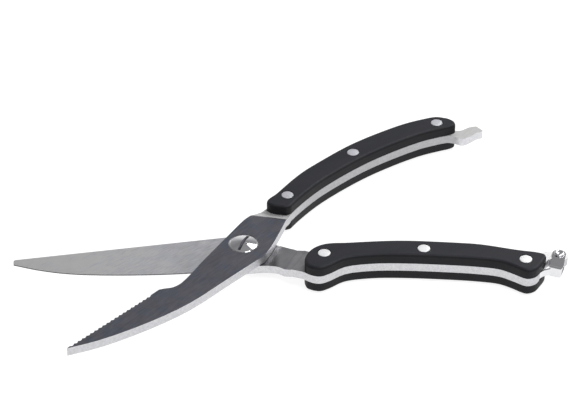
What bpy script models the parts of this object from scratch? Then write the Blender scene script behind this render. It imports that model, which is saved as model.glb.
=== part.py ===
"""Poultry shears, lying open on the undersides of their handle scales.

World frame in metres, +Z up. Z = 0 is the surface that the shears lie on, and +X runs along the plain
half's handle. The pieces are drawn in millimetres about the pivot's axis, and MM turns them into metres.

plain_half is the lower arm with its handle, the pivot's fasteners and the latch's pin. serrated_half is
the upper arm with its handle, which turns about pivot_axis. latch is the clasp, which turns about
latch_axis and hooks over the tongue at the end of the serrated arm once the handles are squeezed shut.
"""

import math

import bmesh
import bpy
from mathutils import Matrix, Vector

MM = 0.001

# Where the pivot's axis stands, so that the origin is the middle of the footprint.
PIVOT = (-21.45, -12.85)
CLOSING_ANGLE = 40.5
SEAT_GAP = 0.1  # between pieces that are fastened together
SLIDING_GAP = 0.3  # between the two blades

# Heights. The tangs lie in one plane, and each arm is joggled by half its thickness to pass the other.
STEEL = 4.1
SCALE = 4.9
TANG_LOW = SCALE + SEAT_GAP
TANG_HIGH = TANG_LOW + STEEL
TOP = TANG_HIGH + SEAT_GAP + SCALE
MEETING = (TANG_LOW + TANG_HIGH) / 2
PLAIN_HIGH = MEETING - SLIDING_GAP / 2
PLAIN_LOW = PLAIN_HIGH - STEEL
SERRATED_LOW = MEETING + SLIDING_GAP / 2
SERRATED_HIGH = SERRATED_LOW + STEEL
JOGGLE = TANG_LOW - PLAIN_LOW

# Scales.
SCALE_ROUNDING = 1.4
SCALE_ROUND_STEPS = 3

# Joggles: the line that each starts on, the direction in which it climbs or drops, and its length.
PLAIN_JOGGLE = ((20.5, -8.7), (13.0, -5.5), 4.4)
SERRATED_JOGGLE = ((4.2, 20.9), (2.2, 10.9), 6.0)

# Cutting edges. The plain blade's bevel is on its underside, the serrated blade's on its top side.
EDGE_LAND = 0.5
PLAIN_BEVEL = 5.0
PLAIN_BEVEL_START = 8.0
PLAIN_BEVEL_SHARE = 0.6  # the most of the blade's width that the bevel takes, toward the tip
PLAIN_TAPER = ((-74.0, 0.0), (-1.0, 0.0), 30.0)
PLAIN_TAPER_RISE = 2.9
PLAIN_SPINE = ((-7.8, 10.4), (-103.2, -6.6))
SERRATED_BEVEL = 1.8
SERRATED_BEVEL_START = 12.0
SERRATED_BEVEL_END = 6.0
SERRATED_HEEL = (-1.8, 15.2)
SCALLOPS = 20
SCALLOP_DEPTH = 0.7
SCALLOP_STEPS = 4

# Pivot: a slotted dome screw, a coil spring in two facing pockets, a washer and a nut.
SCREW_RADIUS = 3.0
SCREW_HEAD_RADIUS = 6.4
SCREW_HEAD_HEIGHT = 2.2
SCREW_RIM_HEIGHT = 0.6
SCREW_RECESS_RADIUS = 6.9
SCREW_SEAT = SERRATED_HIGH - 0.7
SCREW_END = 0.2
SCREW_HOLE_RADIUS = 3.2
SLOT_WIDTH = 1.4
SLOT_DEPTH = 1.3
SLOT_ANGLE = 68.0
NUT_HEIGHT = 1.8
NUT_CORNER_RADIUS = 5.4
WASHER_LOW = 1.95
WASHER_HIGH = 2.65
WASHER_RADIUS = 6.0
POCKET_RADIUS = 6.6
POCKET_DEPTH = 1.7
WIRE_RADIUS = 0.45
COIL_RADIUS = 5.4
COIL_TURNS = 2 + 1 / 3
COIL_PITCH = 0.98
COIL_POINTS_PER_TURN = 20
LEG_REACH = 10.0
LEG_SLOT_WIDTH = 1.5
LEG_SLOT_END = LEG_REACH + 0.6
LOWER_LEG_ANGLE = 0.0
UPPER_LEG_ANGLE = 240.0

# Handle rivets: a headed tube from above and a headed pin from below.
PLAIN_RIVETS = ((36.5, -10.3), (81.5, -7.0), (126.8, -14.8))
SERRATED_RIVETS = ((19.9, 33.9), (51.2, 68.4), (92.5, 93.5))
RIVET_HEAD_RADIUS = 2.9
RIVET_HEAD_HEIGHT = 1.7
RIVET_EDGE = 0.15
TUBE_RADIUS = 1.9
TUBE_BORE_RADIUS = 1.15
TUBE_BORE_TOP = 12.0
RIVET_PIN_RADIUS = 1.05
RIVET_PIN_TOP = 11.6
RIVET_HOLE_RADIUS = 2.05
COUNTERBORE_RADIUS = 3.0
COUNTERBORE_DEPTH = 1.8
RIVET_SIDES = 20

# Latch: a bent sheet stirrup on a rivet through the plain arm's tail.
LATCH_PIN = (142.8, -6.1)
LATCH_SWING = 172.0
LATCH_SHEET = 0.8
LATCH_CLEARANCE = 0.2
LATCH_LEAN = -20.0
EAR_RADIUS = 3.1
WEB_INSIDE = 9.45
WEB_OUTSIDE = WEB_INSIDE + LATCH_SHEET
WEB_LEFT = -1.85
WEB_TOP_RIGHT = 4.15
WEB_LOW_RIGHT = 3.35
EAR_WAIST = 7.3
SHEET_REACH = 8.0
TAB_LOW = 5.4
TAB_HIGH = 8.7
TAB_CENTRE = (
    (-1.2, -9.8), (-1.85, -10.5), (-3.05, -11.55), (-4.15, -12.65), (-4.9, -14.05), (-5.25, -14.95),
)
LATCH_PIN_RADIUS = 1.4
LATCH_HOLE_RADIUS = 1.55
LATCH_HEAD_RADIUS = 2.4
LATCH_HEAD_HEIGHT = 0.7
TONGUE_ARC_RADIUS = WEB_INSIDE - 0.3

HOLE_SIDES = 24
ROUND_SIDES = 32
PAST = 1.0  # how far a cutter runs past the face that it cuts


def on_curve(points, steps):
    """Points of the smooth curve through the given ones (a centripetal Catmull-Rom), steps between each."""
    knots = [Vector(point) for point in points]
    spans = [math.sqrt((end - start).length) for start, end in zip(knots, knots[1:])]
    slopes = [(knots[1] - knots[0]) / spans[0]]
    for index in range(1, len(knots) - 1):
        before, here, after = knots[index - 1 : index + 2]
        first, second = spans[index - 1 : index + 1]
        slopes.append((here - before) / first - (after - before) / (first + second) + (after - here) / second)
    slopes.append((knots[-1] - knots[-2]) / spans[-1])
    made = []
    for index, span in enumerate(spans):
        start, end = knots[index : index + 2]
        leave, arrive = slopes[index] * span, slopes[index + 1] * span
        for step in range(steps):
            t = step / steps
            rise = t * t * (3 - 2 * t)
            made.append(start.lerp(end, rise) + leave * (t * (1 - t) ** 2) + arrive * (t * t * (t - 1)))
    made.append(knots[-1])
    return made


def on_arc(centre, radius, start, end, steps):
    """Points of an arc, from one angle in degrees to another."""
    angles = [math.radians(start + (end - start) * step / steps) for step in range(steps + 1)]
    return [Vector(centre) + Vector((math.cos(a), math.sin(a))) * radius for a in angles]


def turned_about_pivot(points, degrees):
    turn = Matrix.Rotation(math.radians(degrees), 2)
    return [turn @ Vector(point) for point in points]


def without_repeats(points, least=0.05):
    """The closed outline without points that nearly coincide."""
    kept = []
    for point in points:
        if not kept or (point - kept[-1]).length > least:
            kept.append(point)
    while (kept[0] - kept[-1]).length <= least:
        kept.pop()
    return kept


def outward(points, index):
    """The direction square to a counter-clockwise outline at one of its points."""
    before = points[index - 1]
    after = points[(index + 1) % len(points)]
    along = (after - before).normalized()
    return Vector((along.y, -along.x))


def smooth_step(value):
    t = min(max(value, 0.0), 1.0)
    return t * t * (3 - 2 * t)


# Outlines, counter-clockwise seen from above. Each arm's tang shares most of its outline with its scales.

PLAIN_NEAR = (
    (28.7, -19.4), (31.0, -20.8), (34.8, -21.5), (39.0, -19.4), (45.8, -14.6), (57.0, -12.3), (70.0, -11.9),
    (94.0, -13.3), (107.0, -14.7), (115.5, -16.5), (121.5, -20.0), (127.0, -23.3), (131.0, -21.9),
)
PLAIN_FAR = ((122.6, -7.2), (107.0, -3.3), (93.6, -1.9), (71.0, -0.6), (46.0, -2.2))
SERRATED_NEAR = ((21.6, 25.4), (25.7, 31.8), (35.2, 44.2), (51.1, 60.1), (64.3, 70.9), (84.1, 83.7))
SERRATED_FAR = (
    (97.6, 98.0), (92.5, 99.1), (84.6, 96.7), (74.6, 92.1), (51.4, 76.5), (35.4, 61.7), (25.8, 51.5),
    (14.1, 34.8),
)


def plain_scale_outline():
    corner = (133.4, -18.6)
    rear = (corner, (136.1, -13.4), (135.7, -10.9), (133.2, -9.5))
    front = ((37.0, -3.0), (31.3, -6.4), (28.1, -12.0), (27.7, -16.6), PLAIN_NEAR[0])
    return without_repeats(
        on_curve((*PLAIN_NEAR, corner), 3) + on_curve(rear, 3) + on_curve((rear[-1], *PLAIN_FAR, *front), 3)
    )


def serrated_scale_outline():
    corner = (99.4, 90.2)
    end = (corner, (101.5, 92.0), (101.0, 95.4), SERRATED_FAR[0])
    front = ((10.7, 30.6), (10.4, 28.0), (12.3, 25.9), (15.7, 24.8), (19.4, 24.3))
    return without_repeats(
        on_curve((*SERRATED_NEAR, corner), 4)
        + on_curve(end, 3)
        + on_curve(SERRATED_FAR, 4)
        + on_curve((SERRATED_FAR[-1], *front, SERRATED_NEAR[0]), 3)
    )


def plain_edge():
    """The plain blade's cutting edge, from tip to heel."""
    return on_curve(
        ((-103.8, -10.1), (-91.0, -14.1), (-77.0, -16.6), (-55.0, -17.4), (-30.0, -16.5), (-14.0, -14.8)), 5
    )


def plain_arm_outline():
    near_neck = (
        (-14.0, -14.8), (0.0, -12.2), (8.4, -10.9), (12.3, -11.0), (15.5, -11.6), (18.2, -13.2),
        (21.4, -16.1), (24.0, -17.1), (27.0, -18.2), PLAIN_NEAR[0],
    )
    near_tang = (*PLAIN_NEAR, (132.95, -19.15))
    tab_seat = ((132.0, -18.75), (132.3, -17.3))
    under_tail = ((134.0, -14.8), (136.0, -12.0), (137.4, -9.4), (139.6, -8.2))
    lug = (
        on_arc(LATCH_PIN, 3.5, 202, 270, 4)
        + on_arc((143.4, -6.1), 3.5, 270, 360, 5)
        + on_arc((144.4, -5.9), 2.5, 0, 90, 4)
    )
    far_tail = ((144.4, -3.4), (141.0, -3.4), (136.4, -3.5), (134.0, -5.0), (131.4, -8.8))
    far_tang = ((131.4, -8.8), *PLAIN_FAR, (37.0, -4.2))
    far_neck = (
        (37.0, -4.2), (32.0, -3.6), (29.2, -3.1), (27.0, -1.8), (25.0, 0.0), (23.0, 1.2), (21.1, 1.9),
        (16.5, 3.9), (11.0, 5.9), (3.0, 10.0), PLAIN_SPINE[0],
    )
    tip = (PLAIN_SPINE[1], (-103.9, -7.1), (-104.0, -8.6), (-103.8, -10.1))
    return without_repeats(
        plain_edge()
        + on_curve(near_neck, 4)
        + on_curve(near_tang, 3)
        + [Vector(point) for point in tab_seat]
        + on_curve(under_tail, 3)
        + lug
        + on_curve(far_tail, 3)
        + on_curve(far_tang, 3)
        + on_curve(far_neck, 3)
        + on_curve(tip, 2)
    )


def serrated_edge_line():
    """The serrated blade's cutting edge without its scallops, from the neck to the tip."""
    straight = (SERRATED_HEEL, (-7.8, 4.9), (-18.6, -13.9), (-21.2, -18.8))
    notch = ((-21.2, -18.8), (-25.4, -26.2), (-28.0, -29.8), (-31.0, -32.0), (-34.4, -32.8), (-36.9, -33.6))
    toothed = ((-36.9, -33.6), (-40.3, -37.4), (-73.3, -72.4))
    return on_curve(straight, 3), on_curve(notch, 3), toothed


def scalloped(start, end):
    """A run of scallops between two points: (point on the edge line, depth of the scallop there)."""
    total = SCALLOPS * SCALLOP_STEPS
    made = []
    for index in range(total + 1):
        depth = SCALLOP_DEPTH * abs(math.sin(math.pi * index / SCALLOP_STEPS))
        made.append((start.lerp(end, index / total), depth))
    return made


def tongue_outline():
    """The tongue at the serrated arm's end, drawn where it lies when the shears are shut."""
    near_side = (
        (133.3, 3.0), (134.3, 1.4), (134.9, -0.6), (135.7, -2.1), (137.3, -2.95), (141.0, -3.1),
        (144.6, -3.05),
    )
    tip = ((147.9, -3.9), (148.5, -3.4))
    rounded = on_arc(LATCH_PIN, TONGUE_ARC_RADIUS, 51, 79, 4)
    far_side = ((144.5, 2.88), (142.9, 3.0), (141.0, 3.1), (139.3, 3.9), (138.0, 5.4), (137.4, 7.2))
    made = on_curve(near_side, 3) + [Vector(point) for point in tip] + rounded + on_curve(far_side, 3)
    return turned_about_pivot(made, CLOSING_ANGLE)


def serrated_arm_outline():
    """(point, inward depth of a scallop, share of the bevel) round the serrated arm."""
    spine = ((-74.4, -73.9), (-60.6, -68.3), (-39.7, -56.0), (-22.8, -43.0), (-7.6, -27.0), (9.6, -8.7))
    near_neck = ((9.6, -8.7), (12.6, -2.2), (16.2, 8.1), (18.2, 14.3), (19.8, 19.4), SERRATED_NEAR[0])
    near_tang = (*SERRATED_NEAR, (90.5, 86.5), (94.6, 88.1), (97.8, 89.0))
    far_neck = (
        SERRATED_FAR[-1], (10.4, 29.6), (7.5, 26.4), (5.0, 23.5), (2.6, 21.0), (0.4, 18.5), SERRATED_HEEL,
    )
    plain_run = without_repeats(
        on_curve(spine, 3)
        + on_curve(near_neck, 3)
        + on_curve(near_tang, 3)
        + tongue_outline()
        + on_curve(SERRATED_FAR, 3)
        + on_curve(far_neck, 3)
    )
    straight, notch, toothed = serrated_edge_line()
    sharp = [(point, 0.0) for point in straight[1:] + notch[1:]]
    sharp += scalloped(Vector(toothed[1]), Vector(toothed[-1]))
    made = [(point, 0.0, 0.0) for point in plain_run]
    for point, depth in sharp:
        from_heel = smooth_step((SERRATED_HEEL[1] - point.y) / SERRATED_BEVEL_START)
        from_tip = smooth_step((point.y - spine[0][1]) / SERRATED_BEVEL_END)
        share = from_heel * from_tip
        made.append((point, depth, share))
    return made


# Meshes.


def loft(rings):
    """A closed solid through rings of points with the same count, from the lowest to the highest."""
    mesh = bmesh.new()
    rows = [[mesh.verts.new(point) for point in ring] for ring in rings]
    for low, high in zip(rows, rows[1:]):
        for index in range(len(low)):
            mesh.faces.new((low[index - 1], low[index], high[index], high[index - 1]))
    mesh.faces.new(tuple(reversed(rows[0])))
    mesh.faces.new(tuple(rows[-1]))
    return mesh


def at_height(points, height):
    return [Vector((point.x, point.y, height)) for point in points]


def prism(points, low, high):
    return loft((at_height(points, low), at_height(points, high)))


def turned(profile, sides, centre=(0.0, 0.0)):
    """A solid turned about Z from (radius, height) points that start and end on the axis."""
    mesh = bmesh.new()
    verts = [mesh.verts.new((radius, 0.0, height)) for radius, height in profile]
    edges = [mesh.edges.new(pair) for pair in zip(verts, verts[1:])]
    bmesh.ops.spin(
        mesh, geom=verts + edges, cent=(0, 0, 0), axis=(0, 0, 1), angle=math.tau, steps=sides, use_merge=True
    )
    bmesh.ops.remove_doubles(mesh, verts=mesh.verts, dist=0.0001)
    bmesh.ops.recalc_face_normals(mesh, faces=mesh.faces)
    bmesh.ops.translate(mesh, verts=mesh.verts, vec=(*centre, 0.0))
    return mesh


def joggle(mesh, start, toward, run, rise, top=math.inf):
    """Bends a plate across its thickness: beyond the line square to toward, it climbs by rise over run.

    Points above top stay where they are, so that a plate can also thin out.
    """
    across = Vector((*toward, 0.0)).normalized()
    foot = Vector((*start, 0.0))
    for place in (foot, foot + across * run):
        geometry = mesh.verts[:] + mesh.edges[:] + mesh.faces[:]
        bmesh.ops.bisect_plane(mesh, geom=geometry, dist=0.0001, plane_co=place, plane_no=across)
    for vert in mesh.verts:
        if vert.co.z < top:
            vert.co.z += rise * min(max((vert.co - foot).dot(across) / run, 0.0), 1.0)


def add_object(name, mesh, material, parent):
    """Turns a bmesh in millimetres into a named object that is placed by its parent."""
    bmesh.ops.scale(mesh, vec=(MM, MM, MM), verts=mesh.verts)
    data = bpy.data.meshes.new(name)
    mesh.to_mesh(data)
    mesh.free()
    obj = bpy.data.objects.new(name, data)
    bpy.context.scene.collection.objects.link(obj)
    data.shade_smooth()
    data.set_sharp_from_angle(angle=math.radians(35))
    obj.parent = parent
    if material:
        data.materials.append(material)
    return obj


def combine(obj, name, mesh, operation):
    """Combines an object with a mesh by a Boolean, and keeps the mesh as a wire helper."""
    helper = add_object(f"{obj.name}_{name}_helper", mesh, None, obj.parent)
    helper.hide_render = True
    helper.display_type = "WIRE"
    boolean = obj.modifiers.new(name, "BOOLEAN")
    boolean.operation = operation
    boolean.solver = "EXACT"
    boolean.object = helper


def cut(obj, name, mesh):
    combine(obj, name, mesh, "DIFFERENCE")


def drill(obj, name, holes):
    """Cuts round holes, given as (centre, radius, low, high)."""
    cutters = bmesh.new()
    for centre, radius, low, high in holes:
        drilled = prism(on_arc(centre, radius, 0, 360, HOLE_SIDES)[:-1], low, high)
        copy_into(cutters, drilled)
    cut(obj, name, cutters)


def copy_into(target, source):
    made = {vert: target.verts.new(vert.co) for vert in source.verts}
    for face in source.faces:
        target.faces.new([made[vert] for vert in face.verts])
    source.free()


def bar(length_from, length_to, width, low, high, degrees):
    """A straight bar that points away from the axis."""
    half = width / 2
    corners = ((length_from, -half), (length_to, -half), (length_to, half), (length_from, half))
    return prism(turned_about_pivot(corners, degrees), low, high)


def leg_slot(low, high, degrees):
    """The groove that a leg of the spring lies in."""
    return bar(POCKET_RADIUS - PAST, LEG_SLOT_END, LEG_SLOT_WIDTH, low, high, degrees)


def add_empty(name, place, parent=None):
    empty = bpy.data.objects.new(name, None)
    empty.empty_display_size = 10 * MM
    empty.location = [value * MM for value in place]
    empty.parent = parent
    bpy.context.scene.collection.objects.link(empty)
    return empty


def make_material(name, colour, roughness, metallic):
    material = bpy.data.materials.new(name)
    material.use_nodes = True
    shader = material.node_tree.nodes["Principled BSDF"]
    shader.inputs["Base Color"].default_value = (*colour, 1.0)
    shader.inputs["Roughness"].default_value = roughness
    shader.inputs["Metallic"].default_value = metallic
    material.diffuse_color = (*colour, 1.0)
    return material


# Sub-parts.


def add_plain_arm(parent, material):
    outline = plain_arm_outline()
    edge = plain_edge()
    heel = edge[-1]
    spine_high, spine_low = PLAIN_SPINE
    slope = (spine_high[1] - spine_low[1]) / (spine_high[0] - spine_low[0])
    insets = []
    for index, point in enumerate(outline):
        width = spine_low[1] + (point.x - spine_low[0]) * slope - point.y
        on_edge = point.x <= heel.x and point.y <= edge[0].y
        full = PLAIN_BEVEL * smooth_step((heel.x - point.x) / PLAIN_BEVEL_START)
        inset = min(full, width * PLAIN_BEVEL_SHARE) if on_edge else 0.0
        insets.append(point - outward(outline, index) * inset)
    mesh = loft(
        (
            at_height(insets, PLAIN_LOW),
            at_height(outline, PLAIN_HIGH - EDGE_LAND),
            at_height(outline, PLAIN_HIGH),
        )
    )
    joggle(mesh, *PLAIN_TAPER, PLAIN_TAPER_RISE, PLAIN_LOW + PAST)
    joggle(mesh, *PLAIN_JOGGLE, JOGGLE)
    arm = add_object("plain_blade_arm", mesh, material, parent)
    drill(
        arm,
        "holes",
        [((0.0, 0.0), SCREW_HOLE_RADIUS, PLAIN_LOW - PAST, PLAIN_HIGH + PAST)]
        + [(centre, RIVET_HOLE_RADIUS, TANG_LOW - PAST, TANG_HIGH + PAST) for centre in PLAIN_RIVETS]
        + [(LATCH_PIN, LATCH_HOLE_RADIUS, TANG_LOW - PAST, TANG_HIGH + PAST)],
    )
    floor = PLAIN_HIGH - POCKET_DEPTH
    drill(arm, "pocket", [((0.0, 0.0), POCKET_RADIUS, floor, PLAIN_HIGH + PAST)])
    cut(arm, "leg_slot", leg_slot(floor, PLAIN_HIGH + PAST, LOWER_LEG_ANGLE))


def add_serrated_arm(parent, material):
    marked = serrated_arm_outline()
    points = [point for point, _, _ in marked]
    high, edge, low = [], [], []
    for index, (point, depth, share) in enumerate(marked):
        out = outward(points, index)
        high.append(point - out * depth)
        low.append(point + out * (SERRATED_BEVEL * share - depth))
        edge.append(low[-1])
    mesh = loft(
        (
            at_height(low, SERRATED_LOW),
            at_height(edge, SERRATED_LOW + EDGE_LAND),
            at_height(high, SERRATED_HIGH),
        )
    )
    joggle(mesh, *SERRATED_JOGGLE, -JOGGLE)
    arm = add_object("serrated_blade_arm", mesh, material, parent)
    drill(
        arm,
        "holes",
        [((0.0, 0.0), SCREW_HOLE_RADIUS, SERRATED_LOW - PAST, SERRATED_HIGH + PAST)]
        + [(centre, RIVET_HOLE_RADIUS, TANG_LOW - PAST, TANG_HIGH + PAST) for centre in SERRATED_RIVETS],
    )
    ceiling = SERRATED_LOW + POCKET_DEPTH
    drill(arm, "pocket", [((0.0, 0.0), POCKET_RADIUS, SERRATED_LOW - PAST, ceiling)])
    cut(arm, "leg_slot", leg_slot(SERRATED_LOW - PAST, ceiling, UPPER_LEG_ANGLE))
    drill(arm, "recess", [((0.0, 0.0), SCREW_RECESS_RADIUS, SCREW_SEAT, SERRATED_HIGH + PAST)])


def rounded_slab(outline, square_height, rounded_height):
    """A slab whose edge is rounded where it meets rounded_height."""
    upward = 1 if rounded_height > square_height else -1
    rings = [at_height(outline, square_height)]
    for step in range(SCALE_ROUND_STEPS + 1):
        angle = math.pi / 2 * step / SCALE_ROUND_STEPS
        inset = SCALE_ROUNDING * (1 - math.cos(angle))
        height = rounded_height - upward * SCALE_ROUNDING * (1 - math.sin(angle))
        ring = [point - outward(outline, index) * inset for index, point in enumerate(outline)]
        rings.append(at_height(ring, height))
    return loft(rings[::upward])


def add_scale(name, outline, low, rounded_height, rivets, parent, material):
    """A handle scale, with its outer edge rounded and a counterbored hole for each rivet."""
    high = low + SCALE
    square_height = low if rounded_height == high else high
    scale = add_object(name, rounded_slab(outline, square_height, rounded_height), material, parent)
    if rounded_height == high:
        radii = (RIVET_HOLE_RADIUS, COUNTERBORE_RADIUS)
        step = high - COUNTERBORE_DEPTH
    else:
        radii = (COUNTERBORE_RADIUS, RIVET_HOLE_RADIUS)
        step = low + COUNTERBORE_DEPTH
    profile = ((0, low - PAST), (radii[0], low - PAST), (radii[0], step))
    profile += ((radii[1], step), (radii[1], high + PAST), (0, high + PAST))
    cutters = bmesh.new()
    for centre in rivets:
        copy_into(cutters, turned(profile, HOLE_SIDES, centre))
    cut(scale, "holes", cutters)


def add_handle(prefix, outline, rivets, parent, plastic, steel):
    add_scale(f"{prefix}_top_scale", outline, TOP - SCALE, TOP, rivets, parent, plastic)
    add_scale(f"{prefix}_bottom_scale", outline, 0.0, 0.0, rivets, parent, plastic)
    seat = TOP - RIVET_HEAD_HEIGHT
    tube_profile = (
        (0.0, TUBE_BORE_TOP),
        (TUBE_BORE_RADIUS, TUBE_BORE_TOP),
        (TUBE_BORE_RADIUS, RIVET_HEAD_HEIGHT + 0.2),
        (TUBE_RADIUS, RIVET_HEAD_HEIGHT + 0.2),
        (TUBE_RADIUS, seat),
        (RIVET_HEAD_RADIUS, seat),
        (RIVET_HEAD_RADIUS, TOP - RIVET_EDGE),
        (RIVET_HEAD_RADIUS - RIVET_EDGE, TOP),
        (0.0, TOP),
    )
    pin_profile = (
        (0.0, 0.0),
        (RIVET_HEAD_RADIUS - RIVET_EDGE, 0.0),
        (RIVET_HEAD_RADIUS, RIVET_EDGE),
        (RIVET_HEAD_RADIUS, RIVET_HEAD_HEIGHT),
        (RIVET_PIN_RADIUS, RIVET_HEAD_HEIGHT),
        (RIVET_PIN_RADIUS, RIVET_PIN_TOP),
        (0.0, RIVET_PIN_TOP),
    )
    for place, centre in zip(("front", "middle", "rear"), rivets):
        add_object(f"{prefix}_rivet_tube_{place}", turned(tube_profile, RIVET_SIDES, centre), steel, parent)
        add_object(f"{prefix}_rivet_pin_{place}", turned(pin_profile, RIVET_SIDES, centre), steel, parent)


def add_pivot_screw(parent, material):
    seat = SCREW_SEAT + SEAT_GAP
    top = seat + SCREW_HEAD_HEIGHT
    rim = seat + SCREW_RIM_HEIGHT
    dome = [
        (SCREW_HEAD_RADIUS * math.sin(angle), rim + (top - rim) * math.cos(angle))
        for angle in (math.pi / 2 * step / 6 for step in range(6, -1, -1))
    ]
    profile = [(0.0, SCREW_END), (SCREW_RADIUS - 0.7, SCREW_END), (SCREW_RADIUS - 0.4, SCREW_END + 0.3)]
    profile += [(SCREW_RADIUS - 0.4, PLAIN_LOW), (SCREW_RADIUS, PLAIN_LOW), (SCREW_RADIUS, seat)]
    profile += [(SCREW_HEAD_RADIUS, seat), *dome]
    screw = add_object("pivot_screw", turned(profile, ROUND_SIDES), material, parent)
    reach = SCREW_HEAD_RADIUS + PAST
    cut(screw, "slot", bar(-reach, reach, SLOT_WIDTH, top - SLOT_DEPTH, top + PAST, SLOT_ANGLE))


def add_pivot_washer(parent, material):
    mesh = prism(on_arc((0, 0), WASHER_RADIUS, 0, 360, ROUND_SIDES)[:-1], WASHER_LOW, WASHER_HIGH)
    washer = add_object("pivot_washer", mesh, material, parent)
    bore = ((0.0, 0.0), SCREW_RADIUS - 0.2, WASHER_LOW - PAST, WASHER_HIGH + PAST)
    drill(washer, "bore", [bore])


def add_pivot_nut(parent, material):
    hexagon = on_arc((0, 0), NUT_CORNER_RADIUS, 0, 360, 6)[:-1]
    nut = add_object("pivot_nut", prism(hexagon, 0.0, NUT_HEIGHT), material, parent)
    drill(nut, "bore", [((0.0, 0.0), SCREW_RADIUS - 0.25, -PAST, NUT_HEIGHT + PAST)])


def add_return_spring(parent, material):
    """A wire wound clockwise as it rises, with a straight leg into each arm."""
    half_height = COIL_TURNS * COIL_PITCH / 2
    count = round(COIL_TURNS * COIL_POINTS_PER_TURN)
    path = [Vector((LEG_REACH, 0.0, MEETING - half_height))]
    for index in range(count + 1):
        share = index / count
        angle = math.radians(LOWER_LEG_ANGLE) - share * COIL_TURNS * math.tau
        height = MEETING - half_height + share * 2 * half_height
        path.append(Vector((COIL_RADIUS * math.cos(angle), COIL_RADIUS * math.sin(angle), height)))
    outer = math.radians(UPPER_LEG_ANGLE)
    path.append(Vector((LEG_REACH * math.cos(outer), LEG_REACH * math.sin(outer), MEETING + half_height)))
    curve = bpy.data.curves.new("return_spring", "CURVE")
    curve.dimensions = "3D"
    curve.bevel_depth = WIRE_RADIUS * MM
    curve.bevel_resolution = 2
    curve.use_fill_caps = True
    wire = curve.splines.new("POLY")
    wire.points.add(len(path) - 1)
    for target, point in zip(wire.points, path):
        target.co = (*(point * MM), 1.0)
    curve.materials.append(material)
    spring = bpy.data.objects.new("return_spring", curve)
    spring.parent = parent
    bpy.context.scene.collection.objects.link(spring)


def add_latch_pin(parent, material):
    ear_low = TANG_LOW - LATCH_CLEARANCE - LATCH_SHEET - SEAT_GAP
    ear_high = TANG_HIGH + LATCH_CLEARANCE + LATCH_SHEET + SEAT_GAP
    low = ear_low - LATCH_HEAD_HEIGHT
    high = ear_high + LATCH_HEAD_HEIGHT
    profile = (
        (0.0, low),
        (LATCH_HEAD_RADIUS - 1.0, low),
        (LATCH_HEAD_RADIUS - 0.2, low + 0.4),
        (LATCH_HEAD_RADIUS - 0.2, ear_low),
        (LATCH_PIN_RADIUS, ear_low),
        (LATCH_PIN_RADIUS, ear_high),
        (LATCH_HEAD_RADIUS, ear_high),
        (LATCH_HEAD_RADIUS, ear_high + 0.3),
        (LATCH_HEAD_RADIUS - 0.5, high - 0.2),
        (LATCH_HEAD_RADIUS - 1.4, high),
        (0.0, high),
    )
    add_object("latch_pin", turned(profile, HOLE_SIDES, LATCH_PIN), material, parent)


def leaned(mesh):
    """Turns a mesh about the latch's axis, from the stirrup's own directions to where it rests."""
    lean = Matrix.Rotation(math.radians(LATCH_LEAN), 3, "Z")
    bmesh.ops.rotate(mesh, verts=mesh.verts, cent=(0, 0, 0), matrix=lean)
    return mesh


def bent_sheet(low, high):
    """The stirrup's sheet before its outline is cut: an ear, the web and an ear, wide along X."""
    front = EAR_RADIUS + PAST
    corners = (
        (front, high), (-WEB_OUTSIDE, high), (-WEB_OUTSIDE, low), (front, low),
        (front, low + LATCH_SHEET), (-WEB_INSIDE, low + LATCH_SHEET),
        (-WEB_INSIDE, high - LATCH_SHEET), (front, high - LATCH_SHEET),
    )
    return loft([[Vector((x, y, z)) for y, z in corners] for x in (SHEET_REACH, -SHEET_REACH)])


def stirrup_outline():
    """The stirrup seen from above, with the pin's axis at the origin and the web toward -Y."""
    eye = on_arc((0, 0), EAR_RADIUS, -5, 220, 14)
    past_web = -WEB_OUTSIDE - PAST
    foot = (
        (WEB_LEFT, past_web), (WEB_LOW_RIGHT, past_web), (WEB_LOW_RIGHT, -WEB_OUTSIDE),
        (WEB_TOP_RIGHT, -WEB_INSIDE), (WEB_TOP_RIGHT, -EAR_WAIST),
    )
    return [Vector(point) for point in foot] + eye


def right_bevel(low, high):
    """What is cut off the stirrup's right side, which leans in toward the bottom."""
    lean = (WEB_TOP_RIGHT - WEB_LOW_RIGHT) / (high - low)
    rings = []
    for height in (low - PAST, high + PAST):
        left = WEB_LOW_RIGHT + lean * (height - low)
        past_web = -WEB_OUTSIDE - PAST
        corners = ((left, past_web), (SHEET_REACH, past_web), (SHEET_REACH, 0), (left, 0))
        rings.append(at_height([Vector(corner) for corner in corners], height))
    return loft(rings)


def tab_outline():
    """The thumb tab, which curls from the web's end round the corner of the handle."""
    centre = on_curve(TAB_CENTRE, 3)
    sides = ([], [])
    for index, point in enumerate(centre):
        along = (centre[min(index + 1, len(centre) - 1)] - centre[max(index - 1, 0)]).normalized()
        square = Vector((-along.y, along.x)) * LATCH_SHEET / 2
        sides[0].append(point + square)
        sides[1].append(point - square)
    return sides[0] + sides[1][::-1]


def add_latch_stirrup(parent, material):
    low = TANG_LOW - LATCH_CLEARANCE - LATCH_SHEET
    high = TANG_HIGH + LATCH_CLEARANCE + LATCH_SHEET
    stirrup = add_object("latch_stirrup", leaned(bent_sheet(low, high)), material, parent)
    combine(stirrup, "outline", leaned(prism(stirrup_outline(), low - PAST, high + PAST)), "INTERSECT")
    cut(stirrup, "bevel", leaned(right_bevel(low, high)))
    combine(stirrup, "tab", leaned(prism(tab_outline(), TAB_LOW, TAB_HIGH)), "UNION")
    drill(stirrup, "hole", [((0.0, 0.0), LATCH_HOLE_RADIUS, low - PAST, high + PAST)])


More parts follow.
